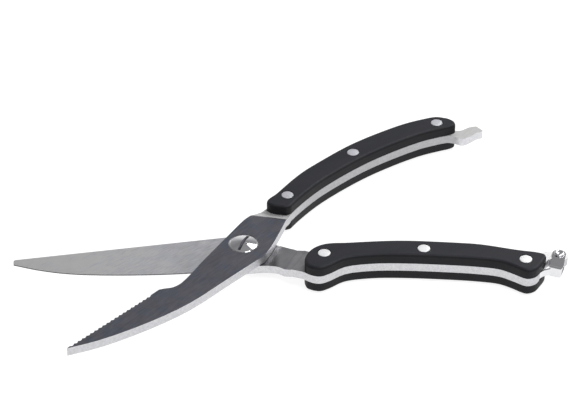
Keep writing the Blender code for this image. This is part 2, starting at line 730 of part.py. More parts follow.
def main():
    for obj in list(bpy.data.objects):
        bpy.data.objects.remove(obj)
    dark_steel = make_material("satin_blade_steel", (0.16, 0.16, 0.175), 0.32, 1.0)
    pale_steel = make_material("ground_blade_steel", (0.38, 0.38, 0.40), 0.38, 1.0)
    plastic = make_material("black_plastic", (0.02, 0.02, 0.023), 0.42, 0.0)
    rivet_steel = make_material("rivet_steel", (0.78, 0.78, 0.80), 0.35, 1.0)
    chrome = make_material("chrome", (0.75, 0.75, 0.77), 0.12, 1.0)
    spring_steel = make_material("spring_steel", (0.35, 0.35, 0.37), 0.35, 1.0)

    plain_half = add_empty("plain_half", (*PIVOT, 0.0))
    pivot_axis = add_empty("pivot_axis", (*PIVOT, 0.0))
    latch_axis = add_empty("latch_axis", (*LATCH_PIN, 0.0), plain_half)

    add_plain_arm(plain_half, pale_steel)
    add_handle("plain", plain_scale_outline(), PLAIN_RIVETS, plain_half, plastic, rivet_steel)
    add_pivot_screw(plain_half, chrome)
    add_pivot_washer(plain_half, rivet_steel)
    add_pivot_nut(plain_half, rivet_steel)
    add_return_spring(plain_half, spring_steel)
    add_latch_pin(plain_half, chrome)

    add_serrated_arm(pivot_axis, dark_steel)
    add_handle("serrated", serrated_scale_outline(), SERRATED_RIVETS, pivot_axis, plastic, rivet_steel)

    add_latch_stirrup(latch_axis, chrome)


main()
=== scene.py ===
"""Looks of the poultry shears: finer pieces, materials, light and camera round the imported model.

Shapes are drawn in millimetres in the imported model's own frame, +Z up, and MM turns them into metres. Lights
and the places that materials name are in metres. The arms, the scales and the fasteners are worked out from
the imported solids, so they stay where those are.
"""

import math

import bmesh
import bpy
from mathutils import Matrix, Vector


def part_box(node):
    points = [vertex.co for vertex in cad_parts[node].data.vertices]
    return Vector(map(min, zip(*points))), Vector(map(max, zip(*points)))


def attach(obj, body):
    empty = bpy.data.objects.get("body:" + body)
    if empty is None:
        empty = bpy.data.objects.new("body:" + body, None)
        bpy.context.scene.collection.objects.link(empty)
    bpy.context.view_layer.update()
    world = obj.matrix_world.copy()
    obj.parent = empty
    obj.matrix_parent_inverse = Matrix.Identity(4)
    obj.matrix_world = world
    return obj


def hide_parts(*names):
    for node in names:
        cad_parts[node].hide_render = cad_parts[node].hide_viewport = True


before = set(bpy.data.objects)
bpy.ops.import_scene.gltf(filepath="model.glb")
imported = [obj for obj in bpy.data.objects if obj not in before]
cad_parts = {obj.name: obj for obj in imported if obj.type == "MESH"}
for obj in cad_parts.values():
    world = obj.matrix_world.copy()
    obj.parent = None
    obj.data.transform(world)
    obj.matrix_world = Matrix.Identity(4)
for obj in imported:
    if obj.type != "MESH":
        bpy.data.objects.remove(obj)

MM = 0.001

# Camera, floor and light.
CAMERA_AIM = (-0.83, -2.33, 25.25)
CAMERA_DISTANCE = 1022.0
CAMERA_ELEVATION = 36.4
CAMERA_LENS = 140.14
CAMERA_REACH = 20000.0
SENSOR_WIDTH = 36.0
FLOOR_SIDE = 6000.0
FLOOR_DROP = 0.5
FLOOR_GLOW = 0.86
# Each light's name, place, width, height and power. All face the origin.
LIGHTS = (
    ("back_right", (0.68, 0.78, 1.02), 0.6, 0.7, 9.0),
    ("front_right", (0.55, -0.45, 1.45), 0.7, 0.6, 9.0),
)
# The surround's brightness against the upward part of the direction.
SURROUND = ((0.0, 1.0), (0.10, 0.95), (0.24, 0.62), (0.45, 0.33), (0.75, 0.24), (1.0, 0.35))
SURROUND_BLUE = 1.01

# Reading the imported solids. A face is level where its normal's Z is over LEVEL.
WELD = 0.002
FLAT_ANGLE = 0.3
LEVEL = 0.99
HEIGHT_SLACK = 0.01

# Curves, and how far the cutting tools reach past what they cut.
OUTLINE_STEPS = 3
CORNER = 35.0
PAST = 1.0
FAR = 9.0

# The arms' rims: at least this sharp, beside a face at least this near to level.
RIM_ANGLE = 50.0
RIM_LEVEL = 0.5
ARM_EDGE = 0.22
ARM_EDGE_STEPS = 2

# The scales' rolled edges and rivet holes. A turn of the outline leaves the edge ROOM_SHARE of its radius.
SCALE_EDGE = 1.4
SCALE_EDGE_STEPS = 10
ROOM_SHARE = 0.8
ROOM_SPREAD = 3
LEAST_TURN = 0.001
COUNTERBORE_RADIUS = 3.0
COUNTERBORE_DEPTH = 1.8
RIVET_HOLE_RADIUS = 2.05
RIVET_HOLE_SIDES = 64

# The scales' rivets. A tube's head is on top and a pin's is underneath.
RIVET_PLACES = ("front", "middle", "rear")
RIVET_DOME = 0.12
RIVET_EDGE = 0.2
RIVET_HEAD = 1.7
CROWN_ANGLE = 0.9
CROWN_STEPS = 8
TUBE_RADIUS = 1.9
PIN_RADIUS = 1.05
RIVET_SIDES = 72

# The pivot's screw.
DOME_POWER = 1.3
DOME_STEPS = 24
SCREW_RIM = 11.3
SCREW_SEAT = 10.7
SCREW_SHOULDER = 2.8
SHANK_RADIUS = 3.0
THREAD_RADIUS = 2.6
THREAD_CHAMFER = 0.3
HEAD_CHAMFER = 0.1
HEAD_ROUND = 0.12
SCREW_SIDES = 96
SLOT_WIDTH = 1.4
SLOT_ANGLE = 68.0
SLOT_DEPTH = 1.3

# The latch's rivet: its foot below the lug, its shank, and a head rolled round a cup.
FOOT_RADIUS = 2.4
FOOT_TOP = 3.9
LATCH_SHANK = 1.4
LATCH_SEAT = 10.2
ROLL_WIDTH = 0.75
ROLL_HEIGHT = 0.5
ROLL_STEPS = 10
ROLL_INSIDE = 1.15
LATCH_PIN_SIDES = 64
# The cup's radii, each with its depth under the head's top.
CUP = ((0.9, 0.28), (0.5, 0.42), (0.0, 0.46))
# The foot's round: how far in from its radius, and how far above its end.
FOOT_ROUND = ((0.7, 0.0), (0.1, 0.35), (0.0, 0.5))

# The latch's stirrup, in its own directions: the pin's axis at the origin and the web toward -Y.
LATCH_LEAN = -20.0
SHEET = 0.8
BEND_INSIDE = 0.6
BLANK_HALF = 8.0
BEND_STEPS_OUTSIDE = 8
BEND_STEPS_INSIDE = 6
EAR_RADIUS = 3.1
EAR_ARC = (-5, 220, 32)
EAR_WAIST = 7.3
EAR_TAPER = 0.05
PIN_HOLE_RADIUS = 1.55
PIN_HOLE_SIDES = 48
WEB_INSIDE = 9.45
WEB_LEFT = -1.85
WEB_RIGHT = 3.35
WEB_TOP_RIGHT = 4.15
WEDGE_FRONT = -3.2
TAB_CENTRE = (
    (-1.2, -9.8), (-1.85, -10.5), (-3.05, -11.55), (-4.15, -12.65), (-4.9, -14.05), (-5.25, -14.95),
)
TAB_LOW = 5.4
TAB_HIGH = 8.7
TAB_STEPS = 6

# How far the arms' satin finish takes to set in along X, and down from its upper limit, in metres.
SATIN_ONSET = 0.006
SATIN_DROP = 0.0003


# Meshes, drawn in millimetres.


def packed_mesh(node):
    """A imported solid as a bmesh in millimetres, with its flat faces whole again."""
    mesh = bmesh.new()
    mesh.from_mesh(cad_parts[node].data)
    bmesh.ops.scale(mesh, vec=(1 / MM,) * 3, verts=mesh.verts)
    bmesh.ops.remove_doubles(mesh, verts=mesh.verts, dist=WELD)
    bmesh.ops.dissolve_limit(
        mesh, angle_limit=math.radians(FLAT_ANGLE), verts=mesh.verts, edges=mesh.edges
    )
    return mesh


def lies_at(face, height):
    return abs(face.calc_center_median().z - height) < HEIGHT_SLACK and abs(face.normal.z) > LEVEL


def outline_at(mesh, height):
    """The outer outline of the flat faces at one height, anticlockwise seen from above."""
    level = [face for face in mesh.faces if lies_at(face, height)]
    following = {}
    for face in level:
        for loop in face.loops:
            if loop.link_loop_radial_next.face not in level:
                following[loop.vert] = loop.link_loop_next.vert
    loops = []
    while following:
        start, vert = following.popitem()
        points = [start.co.xy]
        while vert != start:
            points.append(vert.co.xy)
            vert = following.pop(vert)
        loops.append(points)
    outer = max(loops, key=lambda points: abs(signed_area(points)))
    return outer if signed_area(outer) > 0 else outer[::-1]


def signed_area(points):
    """The area inside a closed outline, below zero when it runs clockwise."""
    return sum(points[i - 1].cross(points[i]) for i in range(len(points))) / 2


def on_curve(start, end, leave, arrive, steps):
    """Points from start on, short of end, on the curve that leaves and arrives with the given slopes."""
    made = []
    for step in range(steps):
        t = step / steps
        rise = t * t * (3 - 2 * t)
        made.append(start.lerp(end, rise) + leave * (t * (1 - t) ** 2) + arrive * (t * t * (t - 1)))
    return made


def slope_at(points, index, other):
    """A closed outline's slope at a point, beside a neighbour. At a sharp corner it heads for that one."""
    count = len(points)
    here = points[index % count]
    before, after = points[(index - 1) % count], points[(index + 1) % count]
    if (here - before).angle(after - here) > math.radians(CORNER):
        return (points[other % count] - here) * (1 if other > index else -1)
    first, second = (here - before).length, (after - here).length
    slope = (here - before) * (second / first) + (after - here) * (first / second)
    return slope / (first + second) * (second if other > index else first)


def rounded_outline(points, steps):
    """A closed outline through the same points, curved between them except at sharp corners."""
    count = len(points)
    made = []
    for index in range(count):
        leave, arrive = slope_at(points, index, index + 1), slope_at(points, index + 1, index)
        made += on_curve(points[index], points[(index + 1) % count], leave, arrive, steps)
    return made


def rounded_line(points, steps):
    """An open smooth curve through the points."""
    last = len(points) - 1
    made = []
    for index in range(last):
        start, end = points[index], points[index + 1]
        leave = (end - points[max(index - 1, 0)]) / 2
        arrive = (points[min(index + 2, last)] - start) / 2
        made += on_curve(start, end, leave, arrive, steps)
    return made + [points[-1]]


def thickened(centre, half):
    """The outline of a strip along an open curve."""
    last = len(centre) - 1
    sides = ([], [])
    for index, point in enumerate(centre):
        along = (centre[min(index + 1, last)] - centre[max(index - 1, 0)]).normalized()
        square = Vector((-along.y, along.x)) * half
        sides[0].append(point + square)
        sides[1].append(point - square)
    return sides[0] + sides[1][::-1]


def outward(points, index):
    """The direction out of an anticlockwise outline at one point."""
    along = (points[(index + 1) % len(points)] - points[index - 1]).normalized()
    return Vector((along.y, -along.x))


def room_at(points, index, reach):
    """How far one point may move in before a tight turn folds over, at most reach."""
    here = points[index]
    before, after = points[index - 1], points[(index + 1) % len(points)]
    turn = -(here - before).angle_signed(after - here)
    length = ((here - before).length + (after - here).length) / 2
    return min(reach, ROOM_SHARE * length / turn) if turn > LEAST_TURN else reach


def corner_rooms(points, reach):
    """How far each point of an outline may move in, changing gently from point to point."""
    count = len(points)
    rooms = [room_at(points, index, reach) for index in range(count)]
    spread = range(-ROOM_SPREAD, ROOM_SPREAD + 1)
    least = [min(rooms[(index + step) % count] for step in spread) for index in range(count)]
    return [sum(least[(index + step) % count] for step in spread) / len(spread) for index in range(count)]


def loft(rings):
    """A closed solid through rings of points with the same count, from the lowest to the highest."""
    mesh = bmesh.new()
    rows = [[mesh.verts.new(point) for point in ring] for ring in rings]
    for low, high in zip(rows, rows[1:]):
        for index in range(len(low)):
            mesh.faces.new((low[index - 1], low[index], high[index], high[index - 1]))
    mesh.faces.new(tuple(reversed(rows[0])))
    mesh.faces.new(tuple(rows[-1]))
    return mesh


def at_height(points, height):
    return [Vector((point[0], point[1], height)) for point in points]


def prism(points, low, high):
    return loft((at_height(points, low), at_height(points, high)))


def on_arc(radius, start, end, steps, centre=(0.0, 0.0)):
    angles = [math.radians(start + (end - start) * step / steps) for step in range(steps + 1)]
    return [Vector(centre) + Vector((math.cos(a), math.sin(a))) * radius for a in angles]


def turned(profile, sides):
    """A solid turned about Z from (radius, height) points that start and end on the axis."""
    mesh = bmesh.new()
    verts = [mesh.verts.new((radius, 0.0, height)) for radius, height in profile]
    edges = [mesh.edges.new(pair) for pair in zip(verts, verts[1:])]
    bmesh.ops.spin(
        mesh, geom=verts + edges, cent=(0, 0, 0), axis=(0, 0, 1), angle=math.tau, steps=sides, use_merge=True
    )
    bmesh.ops.remove_doubles(mesh, verts=mesh.verts, dist=0.0001)
    bmesh.ops.recalc_face_normals(mesh, faces=mesh.faces)
    return mesh


def moved(mesh, x, y):
    bmesh.ops.translate(mesh, verts=mesh.verts, vec=(x, y, 0.0))
    return mesh


def spun(mesh, degrees):
    turn = Matrix.Rotation(math.radians(degrees), 3, "Z")
    bmesh.ops.rotate(mesh, verts=mesh.verts, cent=(0, 0, 0), matrix=turn)
    return mesh


def new_object(name, mesh):
    """An object from a bmesh in millimetres."""
    bmesh.ops.scale(mesh, vec=(MM, MM, MM), verts=mesh.verts)
    data = bpy.data.meshes.new(name)
    mesh.to_mesh(data)
    mesh.free()
    obj = bpy.data.objects.new(name, data)
    bpy.context.scene.collection.objects.link(obj)
    return obj


def combined(obj, mesh, operation):
    """Adds, cuts away or keeps what a second mesh covers, with a Boolean whose result is applied."""
    tool = new_object("tool", mesh)
    boolean = obj.modifiers.new("combine", "BOOLEAN")
    boolean.operation = operation
    boolean.solver = "EXACT"
    boolean.object = tool
    bpy.context.view_layer.update()
    evaluated = obj.evaluated_get(bpy.context.evaluated_depsgraph_get())
    data = bpy.data.meshes.new_from_object(evaluated)
    obj.modifiers.clear()
    obj.data = data
    data.name = obj.name
    bpy.data.objects.remove(tool)


def soften(obj, width, angle):
    """A narrow round on every edge sharper than the angle."""
    bevel = obj.modifiers.new("edges", "BEVEL")
    bevel.limit_method = "ANGLE"
    bevel.angle_limit = math.radians(angle)
    bevel.width = width * MM
    bevel.segments = 2


def shade(obj, angle):
    """Smooth shading that keeps flat faces flat, because a vertex follows its largest faces."""
    obj.data.shade_smooth()
    obj.data.set_sharp_from_angle(angle=math.radians(angle))
    weighted = obj.modifiers.new("flats", "WEIGHTED_NORMAL")
    weighted.mode = "FACE_AREA"
    weighted.weight = 90
    weighted.keep_sharp = True


def finish_piece(obj, body, slot, material, *nodes):
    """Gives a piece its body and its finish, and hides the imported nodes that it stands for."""
    obj.data.materials.clear()
    obj.data.materials.append(material)
    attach(obj, body)
    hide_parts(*nodes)
    return obj


def box_mm(node):
    """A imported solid's lowest and highest corners in millimetres."""
    low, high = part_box(node)
    return low / MM, high / MM


def axis_of(node):
    """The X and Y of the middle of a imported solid, in millimetres."""
    low, high = box_mm(node)
    return (low + high).xy / 2


# Materials.


def add_node(tree, kind, inputs=None, **settings):
    """A shader node whose inputs are values or other nodes' sockets."""
    node = tree.nodes.new(kind)
    for key, value in settings.items():
        setattr(node, key, value)
    for key, value in (inputs or {}).items():
        socket = node.inputs[key]
        if isinstance(value, bpy.types.NodeSocket):
            tree.links.new(value, socket)
        else:
            socket.default_value = value
    return node


def new_material(name):
    material = bpy.data.materials.new(name)
    material.use_nodes = True
    tree = material.node_tree
    return material, tree, tree.nodes["Principled BSDF"]


def math_node(tree, operation, *values):
    return add_node(tree, "ShaderNodeMath", dict(enumerate(values)), operation=operation).outputs[0]


def between(tree, value, low, high, to_low=0.0, to_high=1.0):
    """The value mapped smoothly from one range to another."""
    inputs = {"Value": value, "From Min": low, "From Max": high, "To Min": to_low, "To Max": to_high}
    return add_node(tree, "ShaderNodeMapRange", inputs, interpolation_type="SMOOTHSTEP").outputs[0]


def blended(tree, share, first, second):
    """Two colours mixed by share."""
    node = add_node(tree, "ShaderNodeMix", {0: share}, data_type="RGBA")
    for socket, value in ((node.inputs[6], first), (node.inputs[7], second)):
        if isinstance(value, bpy.types.NodeSocket):
            tree.links.new(value, socket)
        else:
            socket.default_value = (*value, 1.0)
    return node.outputs[2]


def scaled(tree, colour, factor):
    """A colour times a value."""
    node = add_node(tree, "ShaderNodeVectorMath", {0: colour}, operation="SCALE")
    tree.links.new(factor, node.inputs["Scale"])
    return node.outputs[0]


def product(tree, *values):
    result = values[0]
    for value in values[1:]:
        result = math_node(tree, "MULTIPLY", result, value)
    return result


def object_place(tree):
    return add_node(tree, "ShaderNodeTexCoord").outputs["Object"]


def grain(tree, place, scale, degrees=0.0, stretch=1.0, detail=3.0):
    """Noise from 0 to 1, drawn out along one direction where stretch is over 1."""
    turn = add_node(tree, "ShaderNodeMapping", {"Vector": place, "Rotation": (0, 0, -math.radians(degrees))})
    drawn = add_node(tree, "ShaderNodeMapping", {"Vector": turn.outputs[0], "Scale": (1 / stretch, 1.0, 1.0)})
    inputs = {"Vector": drawn.outputs[0], "Scale": scale, "Detail": detail, "Roughness": 0.6}
    return add_node(tree, "ShaderNodeTexNoise", inputs).outputs[0]


def steepness(tree):
    """1 on faces square to Z, 0 on upright ones."""
    normal = add_node(tree, "ShaderNodeNewGeometry").outputs["Normal"]
    height = add_node(tree, "ShaderNodeSeparateXYZ", {0: normal}).outputs[2]
    return math_node(tree, "ABSOLUTE", height)


def rest_of(tree, share):
    """What a share leaves of one."""
    return math_node(tree, "SUBTRACT", 1.0, share)


def bump(tree, height, strength, distance):
    inputs = {"Height": height, "Strength": strength, "Distance": distance}
    return add_node(tree, "ShaderNodeBump", inputs).outputs[0]


def changed_along(tree, along, changes):
    """A factor for each change along an axis, given as its start, its end, and its value before and after."""
    return [between(tree, along, *change) for change in changes]


def satin_share(tree, place, start, limit):
    """1 beyond a place along X and below a height, 0 elsewhere."""
    parts = add_node(tree, "ShaderNodeSeparateXYZ", {0: place})
    beyond = between(tree, parts.outputs[0], start, start + SATIN_ONSET)
    below = between(tree, parts.outputs[2], limit - SATIN_DROP, limit, 1.0, 0.0)
    return math_node(tree, "MAXIMUM", beyond, below)


def arm_roughness(tree, up, satin, fine, coarse):
    """Matt flats, shinier sides and matter satin."""
    flat = product(tree, up, between(tree, fine, 0.2, 0.8, 0.29, 0.39))
    side = product(tree, rest_of(tree, up), between(tree, coarse, 0.2, 0.8, 0.20, 0.30))
    more = product(tree, satin, between(tree, fine, 0.2, 0.8, 0.15, 0.25))
    return math_node(tree, "ADD", math_node(tree, "ADD", flat, side), more)


def arm_steel(
    name, marks, colours, side_colour, side_changes, lifts, satin_from, satin_colour, satin_below
):
    """Ground steel with fine marks on its flats and polished sides, satin beyond an X and below a height."""
    material, tree, shader = new_material(name)
    place = object_place(tree)
    along_x = add_node(tree, "ShaderNodeSeparateXYZ", {0: place}).outputs[0]
    fine = grain(tree, place, 2600.0, degrees=marks, stretch=14.0)
    coarse = grain(tree, place, 420.0, degrees=marks, stretch=5.0)
    cloud = grain(tree, place, 70.0)
    up = between(tree, steepness(tree), 0.45, 0.75)
    satin = satin_share(tree, place, satin_from, satin_below)

    # The lifts scale the flats' tone and the side changes scale the sides' tone along X; the callers use them
    # for painted shade.
    lift = product(
        tree,
        between(tree, fine, 0.25, 0.75, 0.88, 1.12),
        between(tree, coarse, 0.3, 0.7, 0.97, 1.03),
        between(tree, cloud, 0.3, 0.7, 0.96, 1.04),
        *changed_along(tree, along_x, lifts),
    )
    patches = between(tree, grain(tree, place, 130.0), 0.38, 0.62)
    ground = scaled(tree, blended(tree, patches, *colours), lift)
    brushed = scaled(tree, satin_colour, between(tree, fine, 0.25, 0.75, 0.90, 1.10))
    side_grain = between(tree, grain(tree, place, 900.0), 0.3, 0.7, 0.92, 1.08)
    side_lift = product(tree, side_grain, *changed_along(tree, along_x, side_changes))
    side = scaled(tree, side_colour, side_lift)
    colour = blended(tree, up, side, blended(tree, satin, ground, brushed))

    dullness = product(tree, satin, up, between(tree, cloud, 0.2, 0.8, 0.6, 0.7))
    tree.links.new(colour, shader.inputs["Base Color"])
    tree.links.new(arm_roughness(tree, up, satin, fine, coarse), shader.inputs["Roughness"])
    tree.links.new(rest_of(tree, dullness), shader.inputs["Metallic"])
    tree.links.new(bump(tree, fine, 0.12, 0.00005), shader.inputs["Normal"])
    return material


def dark_steel():
    """The serrated arm's steel, dark on the blade and satin toward the tongue and on the lower tang, with
    painted shade on its sides for the dark neck they mirror, and lighter sides again at the tail.
    """
    return arm_steel(
        "satin_blade_steel_fine",
        marks=50.0,
        colours=((0.200, 0.213, 0.262), (0.224, 0.220, 0.250)),
        side_colour=(0.58, 0.58, 0.60),
        # Painted shade: the sides darken to 0.74 from X -0.010 to 0.015, and grow lighter again at the tail.
        side_changes=((-0.010, 0.015, 1.0, 0.74), (0.0795, 0.0830, 1.0, 1.55)),
        lifts=(),
        satin_from=0.068,
        satin_colour=(0.56, 0.56, 0.555),
        satin_below=0.0111,
    )


def pale_steel():
    """The plain arm's steel, pale on the blade and lighter toward its tip, with painted shade on the neck and
    on the blade's sides, and satin at the lug.
    """
    return arm_steel(
        "ground_blade_steel_fine",
        marks=40.0,
        colours=((0.86, 0.87, 0.92), (0.91, 0.90, 0.93)),
        side_colour=(0.58, 0.58, 0.60),
        # Painted shade: the blade's sides drop to 0.12 of the side colour left of X -0.038.
        side_changes=((-0.038, -0.032, 0.12, 1.0),),
        # Along X: lighter toward the tip, then painted shade on the neck, deepest on its left part and eased
        # on its right.
        lifts=(
            (-0.110, -0.035, 1.2, 0.94),
            (-0.025, -0.016, 1.0, 0.165),
            (-0.0078, -0.0045, 1.0, 2.75),
        ),
        satin_from=0.102,
        satin_colour=(0.86, 0.86, 0.86),
        satin_below=0.0,
    )


def simple_steel(name, colour, roughness, spread, scale, metallic=1.0):
    """Steel with a fine, even finish."""
    material, tree, shader = new_material(name)
    fine = grain(tree, object_place(tree), scale)
    shine = scaled(tree, colour, between(tree, fine, 0.25, 0.75, 1 - spread, 1 + spread))
    tree.links.new(shine, shader.inputs["Base Color"])
    rough = between(tree, fine, 0.2, 0.8, roughness * 0.85, roughness * 1.15)
    tree.links.new(rough, shader.inputs["Roughness"])
    shader.inputs["Metallic"].default_value = metallic
    tree.links.new(bump(tree, fine, 0.08, 0.00004), shader.inputs["Normal"])
    return material


def plastic(name):
    """Black moulded plastic with a fine spark-eroded texture, and painted shade that makes its upright sides
    darker than its top.
    """
    material, tree, shader = new_material(name)
    place = object_place(tree)
    pits = grain(tree, place, 2400.0, detail=2.0)
    tint = between(tree, grain(tree, place, 160.0, degrees=25.0, stretch=4.0), 0.3, 0.7)
    # Painted shade: the upright sides get a far darker colour than the top, for the light that misses them.
    top = blended(tree, tint, (0.018, 0.019, 0.025), (0.023, 0.023, 0.029))
    side = blended(tree, tint, (0.003, 0.003, 0.005), (0.006, 0.006, 0.008))
    facing_up = between(tree, steepness(tree), 0.35, 0.95)
    tree.links.new(blended(tree, facing_up, side, top), shader.inputs["Base Color"])
    tree.links.new(between(tree, pits, 0.25, 0.75, 0.48, 0.62), shader.inputs["Roughness"])
    shader.inputs["Specular IOR Level"].default_value = 0.25
    tree.links.new(bump(tree, pits, 0.25, 0.00006), shader.inputs["Normal"])
    return material


# Pieces.


def is_rim(edge):
    """Whether an edge is a real corner at the border of a flat face."""
    if len(edge.link_faces) != 2 or edge.calc_face_angle() < math.radians(RIM_ANGLE):
        return False
    return any(abs(face.normal.z) >= RIM_LEVEL for face in edge.link_faces)


def add_arm(name, node, body, slot, material):
    """An arm with a narrow round along its rims."""
    mesh = packed_mesh(node)
    bmesh.ops.bevel(
        mesh, geom=[edge for edge in mesh.edges if is_rim(edge)], offset=ARM_EDGE, offset_type="OFFSET",
        segments=ARM_EDGE_STEPS, profile=0.5, affect="EDGES", clamp_overlap=True,
    )
    arm = new_object(name, mesh)
    shade(arm, angle=32)
    return finish_piece(arm, body, slot, material, node)


def rolled_rings(outline, square, rolled):
    """Rings from a scale's square edge to its rolled one, which ends flush with its face."""
    upward = 1 if rolled > square else -1
    rooms = corner_rooms(outline, SCALE_EDGE)
    rings = [at_height(outline, square)]
    for step in range(SCALE_EDGE_STEPS + 1):
        share = math.pi / 2 * step / SCALE_EDGE_STEPS
        inset = 1 - math.cos(share)
        drop = SCALE_EDGE * (1 - math.sin(share))
        ring = [point - outward(outline, index) * rooms[index] * inset for index, point in enumerate(outline)]
        rings.append(at_height(ring, rolled - upward * drop))
    return rings[::upward]


def rivet_hole(square, rolled):
    """The tool that cuts one rivet's hole and counterbore."""
    upward = 1 if rolled > square else -1
    step_height = rolled - upward * COUNTERBORE_DEPTH
    bottom, top = sorted((square - upward * PAST, rolled + upward * PAST))
    low_radius, high_radius = (RIVET_HOLE_RADIUS, COUNTERBORE_RADIUS)[::upward]
    profile = (
        (0, bottom), (low_radius, bottom), (low_radius, step_height), (high_radius, step_height),
        (high_radius, top), (0, top),
    )
    return turned(profile, RIVET_HOLE_SIDES)


def add_scale(half, side, material):
    """A handle scale whose outer edge rolls over into its face."""
    node = f"{half}_{side}_scale"
    low, high = box_mm(node)
    on_top = side == "top"
    square, rolled = (low.z, high.z) if on_top else (high.z, low.z)
    mesh = packed_mesh(node)
    outline = rounded_outline(outline_at(mesh, square), OUTLINE_STEPS)
    mesh.free()
    scale = new_object(f"{node}_fine", loft(rolled_rings(outline, square, rolled)))
    for place in RIVET_PLACES:
        centre = axis_of(f"{half}_rivet_tube_{place}")
        combined(scale, moved(rivet_hole(square, rolled), *centre), "DIFFERENCE")
    shade(scale, angle=40)
    return finish_piece(scale, f"{half}_half", "black_plastic", material, node)


def add_rivet_half(half, kind, place, material):
    """The tube or the pin of a rivet, with a head that is very slightly round."""
    node = f"{half}_rivet_{kind}_{place}"
    low, high = box_mm(node)
    radius = (high.x - low.x) / 2
    on_top = kind == "tube"
    face, far = (high.z, low.z) if on_top else (low.z, high.z)
    inward = -1 if on_top else 1
    shank = TUBE_RADIUS if on_top else PIN_RADIUS
    angles = [CROWN_ANGLE * step / CROWN_STEPS for step in range(CROWN_STEPS + 1)]
    crown = [
        (
            (radius - RIVET_EDGE) * math.sin(angle) / math.sin(CROWN_ANGLE),
            face + inward * RIVET_DOME * (1 - math.cos(angle)) / (1 - math.cos(CROWN_ANGLE)),
        )
        for angle in angles
    ]
    rim = face + inward * (RIVET_DOME + RIVET_EDGE)
    seat = face + inward * RIVET_HEAD
    profile = crown + [(radius, rim), (radius, seat), (shank, seat), (shank, far), (0, far)]
    rivet = new_object(f"{node}_fine", turned(profile[::inward], RIVET_SIDES))
    rivet.location = (*(axis_of(node) * MM), 0.0)
    shade(rivet, angle=30)
    return finish_piece(rivet, f"{half}_half", "rivet_steel", material, node)


def screw_profile(low, radius, top):
    """The pivot screw's profile, from the end of its thread to the top of its dome."""
    dome = [
        (radius * step / DOME_STEPS, top - (top - SCREW_RIM) * (step / DOME_STEPS) ** DOME_POWER)
        for step in range(DOME_STEPS)
    ]
    return [
        (0, low),
        (THREAD_RADIUS - THREAD_CHAMFER, low),
        (THREAD_RADIUS, low + THREAD_CHAMFER),
        (THREAD_RADIUS, SCREW_SHOULDER),
        (SHANK_RADIUS, SCREW_SHOULDER),
        (SHANK_RADIUS, SCREW_SEAT),
        (radius - HEAD_CHAMFER, SCREW_SEAT),
        (radius, SCREW_SEAT + HEAD_CHAMFER),
        (radius, SCREW_RIM - HEAD_ROUND),
        *dome[::-1],
    ]


def add_pivot_screw(material, painted_slot_shade):
    """The pivot's screw, with a domed head and a slot whose floor takes a near-black material, painted shade
    in the slot.
    """
    low, high = box_mm("pivot_screw")
    profile = screw_profile(low.z, (high.x - low.x) / 2, high.z)
    screw = new_object("pivot_screw_fine", turned(profile, SCREW_SIDES))
    half = SLOT_WIDTH / 2
    slot_floor = high.z - SLOT_DEPTH
    slot = prism(((-FAR, -half), (FAR, -half), (FAR, half), (-FAR, half)), slot_floor, high.z + PAST)
    combined(screw, spun(slot, SLOT_ANGLE), "DIFFERENCE")
    screw.location = (*(axis_of("pivot_screw") * MM), 0.0)
    soften(screw, width=0.09, angle=38)
    shade(screw, angle=38)
    finish_piece(screw, "plain_half", "chrome", material, "pivot_screw")
    # The slot's floor takes the second material, which paints the shade in the slot.
    screw.data.materials.append(painted_slot_shade)
    for face in screw.data.polygons:
        if abs(face.center.z - slot_floor * MM) < HEIGHT_SLACK * MM and face.normal.z > LEVEL:
            face.material_index = 1
    return screw


def add_latch_pin(material):
    """The latch's rivet, with a rolled head round a shallow cup."""
    low, high = box_mm("latch_pin")
    head = (high.x - low.x) / 2
    angles = [math.pi * (0.5 - step / ROLL_STEPS) for step in range(ROLL_STEPS + 1)]
    roll = [
        (
            head - ROLL_WIDTH + ROLL_WIDTH * math.sin(angle),
            high.z - ROLL_HEIGHT + ROLL_HEIGHT * math.cos(angle),
        )
        for angle in angles
    ]
    profile = [(0, low.z)]
    profile += [(FOOT_RADIUS - inset, low.z + rise) for inset, rise in FOOT_ROUND]
    profile += [(FOOT_RADIUS, FOOT_TOP), (LATCH_SHANK, FOOT_TOP), (LATCH_SHANK, LATCH_SEAT)]
    profile += [(head - HEAD_CHAMFER, LATCH_SEAT), (head, LATCH_SEAT + HEAD_CHAMFER)]
    profile += [(radius, height) for radius, height in roll if radius > ROLL_INSIDE]
    profile += [(radius, high.z - depth) for radius, depth in CUP]
    pin = new_object("latch_pin_fine", turned(profile, LATCH_PIN_SIDES))
    pin.location = (*(axis_of("latch_pin") * MM), 0.0)
    shade(pin, angle=45)
    return finish_piece(pin, "plain_half", "chrome", material, "latch_pin")


def stirrup_side():
    """The stirrup's bent sheet seen along X, as (y, z) points: the top ear, the web and the bottom ear."""
    low, high = (corner.z for corner in box_mm("latch_stirrup"))
    outside = -WEB_INSIDE - SHEET
    outer_bend = BEND_INSIDE + SHEET
    front = EAR_RADIUS + PAST
    corner = outside + outer_bend
    outer = [Vector((front, high))]
    outer += on_arc(outer_bend, 90, 180, BEND_STEPS_OUTSIDE, (corner, high - outer_bend))
    outer += on_arc(outer_bend, 180, 270, BEND_STEPS_OUTSIDE, (corner, low + outer_bend))
    outer += [Vector((front, low)), Vector((front, low + SHEET))]
    inner = on_arc(BEND_INSIDE, 270, 180, BEND_STEPS_INSIDE, (corner, low + outer_bend))
    inner += on_arc(BEND_INSIDE, 180, 90, BEND_STEPS_INSIDE, (corner, high - outer_bend))
    inner += [Vector((front, high - SHEET))]
    return outer + inner


